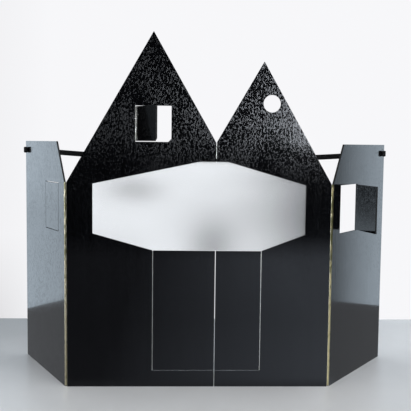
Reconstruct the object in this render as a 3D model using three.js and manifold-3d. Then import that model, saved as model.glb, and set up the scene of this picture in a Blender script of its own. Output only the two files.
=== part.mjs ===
// A folding puppet theatre of black stained plywood: two gabled front boards that share a stage
// opening, two side wings, two doors and three window shutters, all on brass piano hinges that are
// screwed to the boards' edges. A frosted sheet hangs behind the stage, and a webbing strap
// between the wings keeps them from opening out.
// Millimetres and degrees. X runs across the front from the seam between the front boards,
// Y from their front faces to the rear, Z up from the floor.
import * as THREE from 'three';
import { mergeVertices } from 'three/addons/utils/BufferGeometryUtils.js';
import Module from 'manifold-3d';

const wasm = await Module();
wasm.setup();

// Boards
const plyThickness = 8;
const leftFrontWidth = 626;
const rightFrontWidth = 488;
const leftApexFromSeam = 265;
const rightApexFromSeam = 195;
const roofPitch = 60;
const leftWingWidth = 550;
const rightWingWidth = 566;
const leftWingAngle = 62.4;
const rightWingAngle = 53.7;
const kerf = 3;

// Stage opening, whose lower edge lies between the two lines under the gables' tips. The eaves and
// the wings' tops are measured up from it.
const doorLineHeight = 70;
const stageBottomHeight = 587;
const stageSideBottomRise = 71;
const stageSideLength = 210;
const stageTopRise = 96;
const stageSideMargin = 107;
const stageTopLeftFromSeam = 69;
const stageTopRightFromSeam = 50;
const eaveRise = 6.73;
const wingTopRise = 168.3;

// Windows and shutters
const gableWindowSize = 150;
const gableWindowShare = 0.39226;
const gableWindowChamfer = 13;
const gableShutterAngle = 54.5;
const roundHoleRadius = 36.5;
const roundHoleShare = 0.65867;
const roundHoleAcrossShare = 0.35;
const wingWindowFromHinge = 72;
const wingWindowWidthShare = 0.32;
const wingWindowDrop = 1;
const rightShutterAngle = 52;

// Piano hinges: a leaf is as wide as the ply's edge that it is screwed to
const hingeGap = 3;
const seatGap = 0.3;
const hingeLeafThickness = 1;
const barrelRadius = 2.2;
const pinRadius = 1;
const pinClearance = 0.3;
const knucklePitch = 30;
const knuckleGap = 0.5;
const hingeEndMargin = 2;
const centreTopHingeLength = 56;
const centreBottomHingeLength = 60;

// Frosted sheet and its bound edge
const sheetThickness = 1;
const hemThickness = 2;
const hemInnerMargin = 3;
const hemWidth = 9;
const sheetDoorClearance = 0.8;
const hemHingeClearance = 2;

// Strap and toggles
const strapWidth = 25;
const strapThickness = 2.4;
const strapBelowWingTop = 42;
const strapSag = 36;
const strapSlotFromRearEdge = 26;
const strapSlotClearance = 0.6;
const strapSlotHeadroom = 9;
const strapLeadIn = 6;
const toggleRadius = 6;
const toggleHeight = 28;
const toggleChamfer = 1;

// Shared by all cuts and round shapes
const cutOverrun = 5;
const barrelSides = 10;
const boreSides = 6;
const roundHoleSides = 48;
const toggleSides = 24;
const strapSteps = 36;

// Values that follow
const slope = Math.tan(THREE.MathUtils.degToRad(roofPitch));
const stageSideBottomHeight = stageBottomHeight + stageSideBottomRise;
const stageSideTopHeight = stageSideBottomHeight + stageSideLength;
const stageTopHeight = stageSideTopHeight + stageTopRise;
const eaveHeight = stageSideTopHeight + eaveRise;
const leftApexHeight = eaveHeight + (leftFrontWidth - leftApexFromSeam) * slope;
const rightApexHeight = eaveHeight + (rightFrontWidth - rightApexFromSeam) * slope;
const gableWindowMiddle = eaveHeight + gableWindowShare * (leftApexHeight - eaveHeight);
const gableWindowBottomHeight = gableWindowMiddle - gableWindowSize / 2;
const roundHoleHeight = eaveHeight + roundHoleShare * (rightApexHeight - eaveHeight);
const roundHoleFromApexLine = (roundHoleAcrossShare * (rightApexHeight - roundHoleHeight)) / slope;
const wingWindowBottomHeight = stageSideBottomHeight - wingWindowDrop;
const wingWindowHeight = stageSideLength;
const wingHeight = eaveHeight + wingTopRise;
const strapEndHeight = wingHeight - strapBelowWingTop;
const wingSlant = (wingHeight - eaveHeight) / slope;
const edgeFromAxis = hingeGap / 2;
const axisFromFace = barrelRadius + seatGap;
const rearAxis = plyThickness + axisFromFace;
const fullCut = plyThickness + 2 * cutOverrun;

const material = (color, roughness, metalness) =>
  new THREE.MeshStandardMaterial({ color, roughness, metalness });
const blackPly = material(0x0d0e10, 0.3, 0);
const brass = material(0xc2ab78, 0.35, 1);
const frosted = material(0xdfe3e7, 0.6, 0);
const blackCloth = material(0x111114, 0.9, 0);
const blackWood = material(0x0b0b0c, 0.5, 0);

// A closed three.js geometry as a solid for joining and cutting
function solid(geometry) {
  const bare = geometry.clone();
  bare.deleteAttribute('normal');
  bare.deleteAttribute('uv');
  const merged = mergeVertices(bare);
  return new wasm.Manifold(
    new wasm.Mesh({
      numProp: 3,
      vertProperties: merged.getAttribute('position').array,
      triVerts: Uint32Array.from(merged.index.array),
    }),
  );
}

function geometryOf(body) {
  const result = body.getMesh();
  const geometry = new THREE.BufferGeometry();
  geometry.setAttribute('position', new THREE.BufferAttribute(new Float32Array(result.vertProperties), 3));
  geometry.setIndex(new THREE.BufferAttribute(new Uint32Array(result.triVerts), 1));
  geometry.computeVertexNormals();
  return geometry;
}

function addMesh(group, name, geometry, meshMaterial, x = 0, y = 0, z = 0) {
  const mesh = new THREE.Mesh(geometry, meshMaterial);
  mesh.name = name;
  mesh.position.set(x, y, z);
  group.add(mesh);
  return mesh;
}

// An outline in X and Z, given thickness along Y from front to rear
function board(outline, front, thickness) {
  const shape = new THREE.Shape(outline.map(([x, z]) => new THREE.Vector2(x, z)));
  const geometry = new THREE.ExtrudeGeometry(shape, { depth: thickness, bevelEnabled: false });
  geometry.rotateX(Math.PI / 2);
  geometry.translate(0, front + thickness, 0);
  return solid(geometry);
}

// A cutter that runs past both faces of a front board
const throughCut = (outline) => board(outline, -cutOverrun, fullCut);

const rectangle = (x0, x1, z0, z1) => [[x0, z0], [x1, z0], [x1, z1], [x0, z1]];

const mirrored = (outline, side) => outline.map(([x, z]) => [side * x, z]);

// Each edge of a closed outline moved outwards by a margin, with mitred corners
function offsetOutline(outline, margin) {
  const count = outline.length;
  const edges = outline.map(([x0, z0], i) => {
    const [x1, z1] = outline[(i + 1) % count];
    const length = Math.hypot(x1 - x0, z1 - z0);
    const normal = [(z1 - z0) / length, (x0 - x1) / length];
    return { normal, reach: normal[0] * x0 + normal[1] * z0 + margin };
  });
  return edges.map((edge, i) => {
    const before = edges[(i + count - 1) % count];
    const cross = before.normal[0] * edge.normal[1] - before.normal[1] * edge.normal[0];
    return [
      (before.reach * edge.normal[1] - edge.reach * before.normal[1]) / cross,
      (edge.reach * before.normal[0] - before.reach * edge.normal[0]) / cross,
    ];
  });
}

const stageOutline = [
  [-leftApexFromSeam, stageBottomHeight],
  [rightApexFromSeam, stageBottomHeight],
  [rightFrontWidth - stageSideMargin, stageSideBottomHeight],
  [rightFrontWidth - stageSideMargin, stageSideTopHeight],
  [stageTopRightFromSeam, stageTopHeight],
  [-stageTopLeftFromSeam, stageTopHeight],
  [stageSideMargin - leftFrontWidth, stageSideTopHeight],
  [stageSideMargin - leftFrontWidth, stageSideBottomHeight],
];

// A straight-edged leaf or window with one lower corner cut off at 45 degrees
const chamferedRectangle = (x0, x1, z0, z1, chamfer) =>
  [[x0, z0], [x1 - chamfer, z0], [x1, z0 + chamfer], [x1, z1], [x0, z1]];

// Hinges. The axis is at the origin, the barrel stands off one face of the boards, and each leaf
// runs from the barrel across the edge of its own board.
const knuckleCount = (length) => 2 * Math.max(1, Math.round((length / knucklePitch - 1) / 2)) + 1;

// One knuckle with the tongue that rolls into it. side is +1 or -1 for the board on the +X or -X
// side of the axis, and barrelSide is +1 for a barrel on the rear faces.
function barrelKnuckle(side, barrelSide, height, bottom) {
  const outer = edgeFromAxis - seatGap;
  const inner = outer - hingeLeafThickness;
  const base = -axisFromFace - hingeLeafThickness;
  const start = -Math.acos(outer / barrelRadius);
  const sweep = 2 * Math.PI - Math.acos(inner / barrelRadius) - start;
  const point = (x, y) => new THREE.Vector2(side * x, barrelSide * y);
  const outline = [point(inner, base), point(outer, base)];
  for (let i = 0; i <= barrelSides; i += 1) {
    const angle = start + (sweep * i) / barrelSides;
    outline.push(point(barrelRadius * Math.cos(angle), barrelRadius * Math.sin(angle)));
  }
  const bore = new THREE.Path();
  bore.absarc(0, 0, pinRadius + pinClearance, 0, 2 * Math.PI);
  const section = new THREE.Shape(outline);
  section.holes.push(bore);
  const knuckle = new THREE.ExtrudeGeometry(section, {
    depth: height,
    bevelEnabled: false,
    curveSegments: boreSides / 2,
  });
  return solid(knuckle.translate(0, 0, bottom));
}

function hingeLeaf(length, side, barrelSide, firstKnuckle) {
  const count = knuckleCount(length);
  const pitch = length / count;
  const outer = side * (edgeFromAxis - seatGap);
  const inner = side * (edgeFromAxis - seatGap - hingeLeafThickness);
  const plate = rectangle(Math.min(outer, inner), Math.max(outer, inner), 0, length);
  let leaf = board(plate, frontFromAxis(barrelSide), plyThickness);
  for (let i = firstKnuckle; i < count; i += 2) {
    leaf = leaf.add(barrelKnuckle(side, barrelSide, pitch - knuckleGap, i * pitch + knuckleGap / 2));
  }
  return geometryOf(leaf);
}

function addHinge(name, fixed, moving, axis, bottom, length, movingSide, barrelSide) {
  const [x, y] = axis;
  const fixedLeaf = hingeLeaf(length, -movingSide, barrelSide, 0);
  const movingLeaf = hingeLeaf(length, movingSide, barrelSide, 1);
  const pin = new THREE.CylinderGeometry(pinRadius, pinRadius, length, boreSides);
  pin.rotateX(Math.PI / 2);
  addMesh(fixed, `${name}_hinge_fixed_leaf`, fixedLeaf, brass, x, y, bottom);
  addMesh(fixed, `${name}_hinge_pin`, pin, brass, x, y, bottom + length / 2);
  addMesh(moving, `${name}_hinge_moving_leaf`, movingLeaf, brass, 0, 0, bottom);
}

function addGroup(parent, x = 0, y = 0, turn = 0) {
  const group = new THREE.Group();
  group.position.set(x, y, 0);
  group.rotation.z = THREE.MathUtils.degToRad(turn);
  parent.add(group);
  return group;
}

// Where a hinged board's front face lies when its hinge's axis is at Y = 0
const frontFromAxis = (barrelSide) => (barrelSide > 0 ? -axisFromFace - plyThickness : axisFromFace);

// The board beside the doorway keeps its slanted edge right up to the corner of the stage
function doorwayCorner(apexFromSeam, width) {
  const rise = (stageSideBottomHeight - stageBottomHeight) / (width - stageSideMargin - apexFromSeam);
  const reach = edgeFromAxis + cutOverrun;
  return [
    [-2 * cutOverrun, stageBottomHeight],
    [apexFromSeam, stageBottomHeight],
    [apexFromSeam + reach, stageBottomHeight + rise * reach],
    [apexFromSeam + reach, stageSideBottomHeight],
    [-2 * cutOverrun, stageSideBottomHeight],
  ];
}

// Front boards. side is -1 for the left one and +1 for the right one.
function frontBoard(side, width, apexFromSeam, apexHeight) {
  const valley = apexHeight - (apexFromSeam - edgeFromAxis) * slope;
  const outline = [
    [edgeFromAxis, 0],
    [width, 0],
    [width, eaveHeight],
    [apexFromSeam, apexHeight],
    [edgeFromAxis, valley],
  ];
  const doorway = rectangle(
    -cutOverrun,
    apexFromSeam + edgeFromAxis,
    doorLineHeight - kerf / 2,
    (stageBottomHeight + stageSideBottomHeight) / 2,
  );
  const corner = mirrored(doorwayCorner(apexFromSeam, width), side);
  const kept = board(corner, -2 * cutOverrun, plyThickness + 4 * cutOverrun);
  const doorCut = throughCut(mirrored(doorway, side)).subtract(kept);
  return board(mirrored(outline, side), 0, plyThickness)
    .subtract(throughCut(stageOutline))
    .subtract(doorCut);
}

function door(side, apexFromSeam) {
  const far = apexFromSeam - edgeFromAxis;
  const outline = rectangle(edgeFromAxis, far, doorLineHeight + kerf / 2, stageBottomHeight);
  return mirrored(outline, -side);
}

// Where a wing's slot for the strap lies, from its hinge's axis
const slotFromAxis = (width) => edgeFromAxis + width - strapSlotFromRearEdge;

// Wings are one design in two widths; side +1 lies to the right of its hinge
function wingBoard(side, width) {
  const near = edgeFromAxis;
  const far = edgeFromAxis + width;
  const outline = [
    [near, 0],
    [far, 0],
    [far, wingHeight],
    [near + wingSlant, wingHeight],
    [near, eaveHeight],
  ];
  const windowNear = near + wingWindowFromHinge;
  const opening = rectangle(
    windowNear,
    windowNear + wingWindowWidthShare * width,
    wingWindowBottomHeight,
    wingWindowBottomHeight + wingWindowHeight,
  );
  const slotHalf = strapThickness / 2 + strapSlotClearance;
  const slotMiddle = slotFromAxis(width);
  const slot = rectangle(
    slotMiddle - slotHalf,
    slotMiddle + slotHalf,
    strapEndHeight - strapWidth / 2 - strapSlotClearance,
    strapEndHeight + strapWidth / 2 + strapSlotHeadroom,
  );
  const front = frontFromAxis(1);
  const cut = (points) => board(mirrored(points, side), front - cutOverrun, fullCut);
  return board(mirrored(outline, side), front, plyThickness).subtract(cut(opening)).subtract(cut(slot));
}

// A shutter's leaf, drawn from its hinge's axis towards the side that it covers
function shutter(side, barrelSide, openingWidth, openingBottom, openingHeight, chamfer) {
  const leafChamfer = Math.max(0, chamfer - kerf * (2 - Math.SQRT2));
  const near = edgeFromAxis;
  const far = openingWidth - edgeFromAxis - kerf;
  const bottom = openingBottom + kerf;
  const top = openingBottom + openingHeight - kerf;
  const outline = leafChamfer > 0
    ? chamferedRectangle(near, far, bottom, top, leafChamfer)
    : rectangle(near, far, bottom, top);
  return board(mirrored(outline, side), frontFromAxis(barrelSide), plyThickness);
}

const theatre = new THREE.Group();
const leftFront = addGroup(theatre);
const rightFront = addGroup(theatre);

// Left front board with its gable window
const gableWindow = {
  left: -leftApexFromSeam - gableWindowSize / 2,
  right: -leftApexFromSeam + gableWindowSize / 2,
  bottom: gableWindowBottomHeight,
  top: gableWindowBottomHeight + gableWindowSize,
};
const gableOutline = chamferedRectangle(
  gableWindow.left,
  gableWindow.right,
  gableWindow.bottom,
  gableWindow.top,
  gableWindowChamfer,
);
const leftBoard = frontBoard(-1, leftFrontWidth, leftApexFromSeam, leftApexHeight)
  .subtract(throughCut(gableOutline));
addMesh(leftFront, 'front_panel_left', geometryOf(leftBoard), blackPly);

// Right front board with its round hole
const roundSection = new THREE.Shape();
roundSection.absarc(0, 0, roundHoleRadius, 0, 2 * Math.PI);
const roundCut = new THREE.ExtrudeGeometry(roundSection, {
  depth: fullCut,
  bevelEnabled: false,
  curveSegments: roundHoleSides / 2,
});
roundCut.rotateX(-Math.PI / 2);
roundCut.translate(rightApexFromSeam + roundHoleFromApexLine, -cutOverrun, roundHoleHeight);
const rightBoard = frontBoard(1, rightFrontWidth, rightApexFromSeam, rightApexHeight)
  .subtract(solid(roundCut));
addMesh(rightFront, 'front_panel_right', geometryOf(rightBoard), blackPly);

// Centre hinges, above the stage and below the doors
const hemOuterMargin = hemInnerMargin + hemWidth;
const centreTopBottom = stageTopHeight + hemOuterMargin + hemHingeClearance;
for (const [name, bottom, length] of [
  ['centre_top', centreTopBottom, centreTopHingeLength],
  ['centre_bottom', hingeEndMargin, centreBottomHingeLength],
]) {
  const moving = addGroup(rightFront, 0, rearAxis);
  addHinge(name, leftFront, moving, [0, rearAxis], bottom, length, 1, 1);
}

// Doors, hinged under the gables' tips and opening to the rear
for (const [name, front, side, apexFromSeam] of [
  ['left_door', leftFront, -1, leftApexFromSeam],
  ['right_door', rightFront, 1, rightApexFromSeam],
]) {
  const axisX = side * apexFromSeam;
  const moving = addGroup(theatre, axisX, rearAxis);
  const leaf = board(door(side, apexFromSeam), frontFromAxis(1), plyThickness);
  addMesh(moving, `${name}_panel`, geometryOf(leaf), blackPly);
  const bottom = doorLineHeight + kerf / 2 + hingeEndMargin;
  const length = stageBottomHeight - hingeEndMargin - bottom;
  addHinge(name, front, moving, [axisX, rearAxis], bottom, length, -side, 1);
}

// Gable shutter, with its barrel on the front face
const gableAxisX = gableWindow.left + edgeFromAxis;
const gableShutter = addGroup(theatre, gableAxisX, -axisFromFace, -gableShutterAngle);
const gableLeaf = shutter(
  1,
  -1,
  gableWindowSize,
  gableWindowBottomHeight,
  gableWindowSize,
  gableWindowChamfer,
);
addMesh(gableShutter, 'gable_shutter_panel', geometryOf(gableLeaf), blackPly);
addHinge(
  'gable_shutter',
  leftFront,
  gableShutter,
  [gableAxisX, -axisFromFace],
  gableWindowBottomHeight + kerf,
  gableWindowSize - 2 * kerf,
  1,
  -1,
);

// Wings, each with its shutter hinged at the window's rear jamb. The right wing is the left one
// turned round, so its shutter's barrel is outside and the left one's is inside.
const wings = {};
for (const [name, front, side, frontWidth, width, turn, barrelSide, shutterTurn] of [
  ['left', leftFront, -1, leftFrontWidth, leftWingWidth, leftWingAngle, 1, 0],
  ['right', rightFront, 1, rightFrontWidth, rightWingWidth, rightWingAngle, -1, rightShutterAngle],
]) {
  const axisX = side * (frontWidth + edgeFromAxis);
  const wing = addGroup(theatre, axisX, rearAxis, side * turn);
  wings[name] = wing;
  addMesh(wing, `${name}_wing_panel`, geometryOf(wingBoard(side, width)), blackPly);
  const length = eaveHeight - 2 * hingeEndMargin;
  addHinge(`${name}_wing`, front, wing, [axisX, rearAxis], hingeEndMargin, length, side, 1);
  const windowWidth = wingWindowWidthShare * width;
  const jamb = edgeFromAxis + wingWindowFromHinge + windowWidth;
  const shutterX = side * (jamb - edgeFromAxis);
  const shutterY = barrelSide > 0 ? 0 : frontFromAxis(1) - axisFromFace;
  const shutterGroup = addGroup(wing, shutterX, shutterY, shutterTurn);
  const leaf = shutter(
    -side,
    barrelSide,
    windowWidth,
    wingWindowBottomHeight,
    wingWindowHeight,
    0,
  );
  addMesh(shutterGroup, `${name}_shutter_panel`, geometryOf(leaf), blackPly);
  addHinge(
    `${name}_shutter`,
    wing,
    shutterGroup,
    [shutterX, shutterY],
    wingWindowBottomHeight + kerf,
    wingWindowHeight - 2 * kerf,
    -side,
    barrelSide,
  );
}

// Frosted sheet in its bound edge, which leaves the lower edge free above the doors
const sheetBottom = stageBottomHeight + sheetDoorClearance;
const hemFront = plyThickness + seatGap;
const below = board(
  rectangle(-leftFrontWidth, rightFrontWidth, 0, sheetBottom),
  -cutOverrun,
  fullCut + hemThickness,
);
const hemHole = board(
  offsetOutline(stageOutline, hemInnerMargin),
  hemFront - cutOverrun,
  hemThickness + 2 * cutOverrun,
);
const hem = board(offsetOutline(stageOutline, hemOuterMargin), hemFront, hemThickness)
  .subtract(hemHole)
  .subtract(below);
addMesh(leftFront, 'screen_hem', geometryOf(hem), blackCloth);
const sheetFront = hemFront + (hemThickness - sheetThickness) / 2;
const sheetOutline = offsetOutline(stageOutline, hemInnerMargin - seatGap);
const sheet = board(sheetOutline, sheetFront, sheetThickness).subtract(below);
addMesh(leftFront, 'screen_sheet', geometryOf(sheet), frosted);

// Toggles outside the wings' slots, which the strap's end loops go round
const loopInner = toggleRadius + seatGap;
const loopOuter = loopInner + strapThickness;
const slotX = { left: -slotFromAxis(leftWingWidth), right: slotFromAxis(rightWingWidth) };
const outerFace = frontFromAxis(1);
const loopCentre = outerFace - seatGap - loopOuter;
const toggleProfile = [
  [0, 0],
  [toggleRadius - toggleChamfer, 0],
  [toggleRadius, toggleChamfer],
  [toggleRadius, toggleHeight - toggleChamfer],
  [toggleRadius - toggleChamfer, toggleHeight],
  [0, toggleHeight],
].map(([r, z]) => new THREE.Vector2(r, z));
for (const name of ['left', 'right']) {
  const toggle = new THREE.LatheGeometry(toggleProfile, toggleSides);
  toggle.rotateX(Math.PI / 2);
  addMesh(
    wings[name],
    `strap_toggle_${name}`,
    geometryOf(solid(toggle)),
    blackWood,
    slotX[name],
    loopCentre,
    strapEndHeight - toggleHeight / 2,
  );
}

// The strap's line from loop to loop: through each slot square to the wing, then in one long sag
function planPoint(name, y) {
  wings[name].updateWorldMatrix(true, false);
  return new THREE.Vector3(slotX[name], y, 0).applyMatrix4(wings[name].matrixWorld);
}
const loopWall = loopCentre + loopInner + strapThickness / 2;
const leadEnd = outerFace + plyThickness + strapLeadIn;
const leftLead = planPoint('left', leadEnd);
const rightLead = planPoint('right', leadEnd);
const strapLine = [planPoint('left', loopWall)];
for (let i = 0; i <= strapSteps; i += 1) {
  const share = i / strapSteps;
  const point = leftLead.clone().lerp(rightLead, share);
  point.z = -4 * strapSag * share * (1 - share);
  strapLine.push(point);
}
strapLine.push(planPoint('right', loopWall));

// A band of upright rectangular section along a line, with mitred bends
function band(line, width, thickness) {
  const positions = [];
  const direction = (a, b) => new THREE.Vector2(b.x - a.x, b.y - a.y).normalize();
  line.forEach((point, i) => {
    const before = direction(line[Math.max(0, i - 1)], line[Math.max(1, i)]);
    const after = direction(line[Math.min(line.length - 2, i)], line[Math.min(line.length - 1, i + 1)]);
    const along = before.clone().add(after).normalize();
    const reach = thickness / 2 / along.dot(before);
    const offset = new THREE.Vector2(-along.y, along.x).multiplyScalar(reach);
    for (const [across, up] of [[1, -1], [1, 1], [-1, 1], [-1, -1]]) {
      positions.push(point.x + across * offset.x, point.y + across * offset.y, point.z + up * width / 2);
    }
  });
  const index = [];
  const quad = (a, b, c, d) => index.push(a, b, c, a, c, d);
  for (let i = 0; i < line.length - 1; i += 1) {
    for (let k = 0; k < 4; k += 1) {
      const next = (k + 1) % 4;
      quad(4 * i + k, 4 * i + next, 4 * (i + 1) + next, 4 * (i + 1) + k);
    }
  }
  quad(3, 2, 1, 0);
  const last = 4 * (line.length - 1);
  quad(last, last + 1, last + 2, last + 3);
  const geometry = new THREE.BufferGeometry();
  geometry.setAttribute('position', new THREE.Float32BufferAttribute(positions, 3));
  geometry.setIndex(index);
  return geometry;
}

function strapLoop(name) {
  const centre = planPoint(name, loopCentre);
  const section = new THREE.Shape();
  section.absarc(0, 0, loopOuter, 0, 2 * Math.PI);
  const hole = new THREE.Path();
  hole.absarc(0, 0, loopInner, 0, 2 * Math.PI, true);
  section.holes.push(hole);
  const loop = new THREE.ExtrudeGeometry(section, {
    depth: strapWidth,
    bevelEnabled: false,
    curveSegments: toggleSides / 2,
  });
  return solid(loop.translate(centre.x, centre.y, -strapWidth / 2));
}
const strap = solid(band(strapLine, strapWidth, strapThickness))
  .add(strapLoop('left'))
  .add(strapLoop('right'));
addMesh(leftFront, 'strap', geometryOf(strap), blackCloth, 0, 0, strapEndHeight);

// Origin on the floor, in the middle of what the theatre stands on
const bounds = new THREE.Box3().setFromObject(theatre, true);
const middle = bounds.getCenter(new THREE.Vector3());
theatre.position.set(-middle.x, -middle.y, -bounds.min.z);

export default theatre;
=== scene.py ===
import math
import bpy
from mathutils import Matrix, Vector, noise


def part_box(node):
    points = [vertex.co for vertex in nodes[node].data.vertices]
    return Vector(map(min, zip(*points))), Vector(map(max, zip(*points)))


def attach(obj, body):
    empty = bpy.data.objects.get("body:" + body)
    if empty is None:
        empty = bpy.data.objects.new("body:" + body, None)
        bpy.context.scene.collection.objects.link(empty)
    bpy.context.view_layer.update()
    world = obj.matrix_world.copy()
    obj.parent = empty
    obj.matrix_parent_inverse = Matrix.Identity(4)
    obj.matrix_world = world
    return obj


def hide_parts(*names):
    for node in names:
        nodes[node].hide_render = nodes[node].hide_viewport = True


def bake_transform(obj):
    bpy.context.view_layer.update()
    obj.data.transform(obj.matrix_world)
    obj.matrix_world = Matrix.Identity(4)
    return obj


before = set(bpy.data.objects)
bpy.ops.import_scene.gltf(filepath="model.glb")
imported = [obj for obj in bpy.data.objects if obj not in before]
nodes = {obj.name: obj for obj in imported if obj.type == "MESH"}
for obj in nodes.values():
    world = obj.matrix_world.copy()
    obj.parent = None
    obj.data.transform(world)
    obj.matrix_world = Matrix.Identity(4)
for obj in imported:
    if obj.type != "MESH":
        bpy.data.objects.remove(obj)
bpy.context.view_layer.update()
scene = bpy.context.scene
scene.view_settings.view_transform = "Standard"

# Places are given from the seam between the front boards and from their front faces, as in the CAD
# model, where the centre hinge's pin stands 10.5 mm behind those faces
pinLow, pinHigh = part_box("centre_top_hinge_pin")
seam = Vector(((pinLow.x + pinHigh.x) / 2, (pinLow.y + pinHigh.y) / 2 - 0.0105, 0))

# The camera stands a little left of the seam, at the height of the wings' tops
cameraSet = {
    "place": (-0.155760, -3.141945, 1.043033),
    "yaw": 2.032,
    "pitch": 4.777,
    "roll": 0.652,
    "lens": 65.645,
    "sensor": 36,
}


def makeCamera():
    yaw, pitch, roll = (math.radians(cameraSet[k]) for k in ("yaw", "pitch", "roll"))
    level = math.cos(pitch)
    ahead = Vector((math.sin(yaw) * level, math.cos(yaw) * level, -math.sin(pitch)))
    right = Vector((math.cos(yaw), -math.sin(yaw), 0.0))
    up = right.cross(ahead)
    cameraX = right * math.cos(roll) + up * math.sin(roll)
    cameraY = up * math.cos(roll) - right * math.sin(roll)
    bpy.ops.object.camera_add(location=seam + Vector(cameraSet["place"]))
    camera = bpy.context.object
    camera.rotation_euler = Matrix((cameraX, cameraY, -ahead)).transposed().to_euler()
    camera.data.lens = cameraSet["lens"]
    camera.data.sensor_width = cameraSet["sensor"]
    scene.camera = camera


makeCamera()
print("camera placed")


# Small helpers for selections and for finished pieces
def clearSelection():
    if bpy.context.object and bpy.context.object.mode != "OBJECT":
        bpy.ops.object.mode_set(mode="OBJECT")
    bpy.ops.object.select_all(action="DESELECT")


def pick(obj):
    clearSelection()
    obj.select_set(True)
    bpy.context.view_layer.objects.active = obj


def pickFaces(obj, wanted):
    bpy.ops.object.mode_set(mode="EDIT")
    bpy.ops.mesh.select_mode(type="FACE")
    bpy.ops.mesh.select_all(action="DESELECT")
    bpy.ops.object.mode_set(mode="OBJECT")
    for face in obj.data.polygons:
        face.select = wanted(face)
    bpy.ops.object.mode_set(mode="EDIT")


def pickEdges(obj, wanted):
    bpy.ops.object.mode_set(mode="EDIT")
    bpy.ops.mesh.select_mode(type="EDGE")
    bpy.ops.mesh.select_all(action="DESELECT")
    bpy.ops.object.mode_set(mode="OBJECT")
    points = obj.data.vertices
    for edge in obj.data.edges:
        edge.select = wanted(points[edge.vertices[0]].co, points[edge.vertices[1]].co)
    bpy.ops.object.mode_set(mode="EDIT")


def applyModifiers(obj):
    pick(obj)
    for modifier in list(obj.modifiers):
        bpy.ops.object.modifier_apply(modifier=modifier.name)


def settle(obj):
    pick(obj)
    bpy.ops.object.transform_apply(location=True, rotation=True, scale=True)


def smooth(obj, angle=35):
    pick(obj)
    bpy.ops.object.shade_smooth_by_angle(angle=math.radians(angle))


def copyTo(template, spots, name):
    parts = []
    for spot in spots:
        part = bpy.data.objects.new(name, template.data.copy())
        scene.collection.objects.link(part)
        part.data.transform(spot)
        parts.append(part)
    clearSelection()
    for part in parts:
        part.select_set(True)
    bpy.context.view_layer.objects.active = parts[0]
    if len(parts) > 1:
        bpy.ops.object.join()
    joined = bpy.context.object
    joined.name = name
    return joined


def finishPiece(obj, material):
    obj.data.materials.clear()
    obj.data.materials.append(material)


def discard(obj):
    bpy.data.objects.remove(obj)


# Helpers for finishes, each made of nodes
def newMaterial(name):
    material = bpy.data.materials.new(name)
    material.use_nodes = True
    tree = material.node_tree
    return material, tree, tree.nodes["Principled BSDF"]


def addNode(tree, kind, inputs=(), **settings):
    node = tree.nodes.new(kind)
    for key, value in settings.items():
        setattr(node, key, value)
    for key, value in dict(inputs).items():
        node.inputs[key].default_value = value
    return node


def stretched(tree, source, scale, rotation=(0, 0, 0)):
    node = addNode(tree, "ShaderNodeMapping", {"Scale": scale, "Rotation": rotation})
    tree.links.new(source, node.inputs["Vector"])
    return node.outputs["Vector"]


def cloud(tree, source, detail=4.0, roughness=0.55):
    inputs = {"Scale": 1.0, "Detail": detail, "Roughness": roughness}
    node = addNode(tree, "ShaderNodeTexNoise", inputs)
    tree.links.new(source, node.inputs["Vector"])
    return node.outputs["Fac"]


# a and b are numbers or other nodes' outputs
def calc(tree, operation, a, b=None):
    node = addNode(tree, "ShaderNodeMath", operation=operation)
    for socket, value in zip(node.inputs, (a, b)):
        if hasattr(value, "links"):
            tree.links.new(value, socket)
        elif value is not None:
            socket.default_value = value
    return node.outputs["Value"]


# A value that runs from toLow to toHigh while the source runs from low to high
def spread(tree, source, low, high, toLow, toHigh):
    node = addNode(
        tree,
        "ShaderNodeMapRange",
        {"From Min": low, "From Max": high, "To Min": toLow, "To Max": toHigh},
    )
    tree.links.new(source, node.inputs["Value"])
    return node.outputs["Result"]


def blendColour(tree, factor, first, second):
    node = addNode(tree, "ShaderNodeMix", data_type="RGBA")
    sockets = [s for s in node.inputs if s.type == "RGBA"]
    for socket, value in zip(sockets, (first, second)):
        if hasattr(value, "links"):
            tree.links.new(value, socket)
        else:
            socket.default_value = (*value, 1)
    tree.links.new(factor, node.inputs["Factor"])
    return next(s for s in node.outputs if s.type == "RGBA")


def bumpOf(tree, height, strength, distance, shader, under=None):
    node = addNode(tree, "ShaderNodeBump", {"Strength": strength, "Distance": distance})
    tree.links.new(height, node.inputs["Height"])
    if under:
        tree.links.new(under, node.inputs["Normal"])
    tree.links.new(node.outputs["Normal"], shader.inputs["Normal"])


stainedPly = {
    "dark": (0.0006, 0.0006, 0.0008),
    "light": (0.0024, 0.0026, 0.0032),
    "edgeDark": (0.0012, 0.0012, 0.0013),
    "edgeLight": (0.0045, 0.0043, 0.0041),
    "plyPair": 0.0032,
    "coat": 1.0,
    "acrossGrain": 0.9,
    "edgeRound": 0.0006,
    "smooth": 0.06,
    "flecked": 0.25,
    "relief": 0.0003,
    "edgeRough": 0.92,
    "coatRough": 0.06,
    "grainScale": (900, 260, 26),
    "bandScale": (42, 12, 1.6),
    "grainShares": (0.6, 0.4),
    "tones": (0.38, 0.66),
    "plyTones": (-0.3, 0.3),
    "areaScale": (9, 4, 6),
    "areaShare": 0.3,
    "fleckScale": (215, 75, 88),
    "flecksFrom": (0.655, 0.73),
    "streakScale": (170, 60, 9),
}


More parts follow.
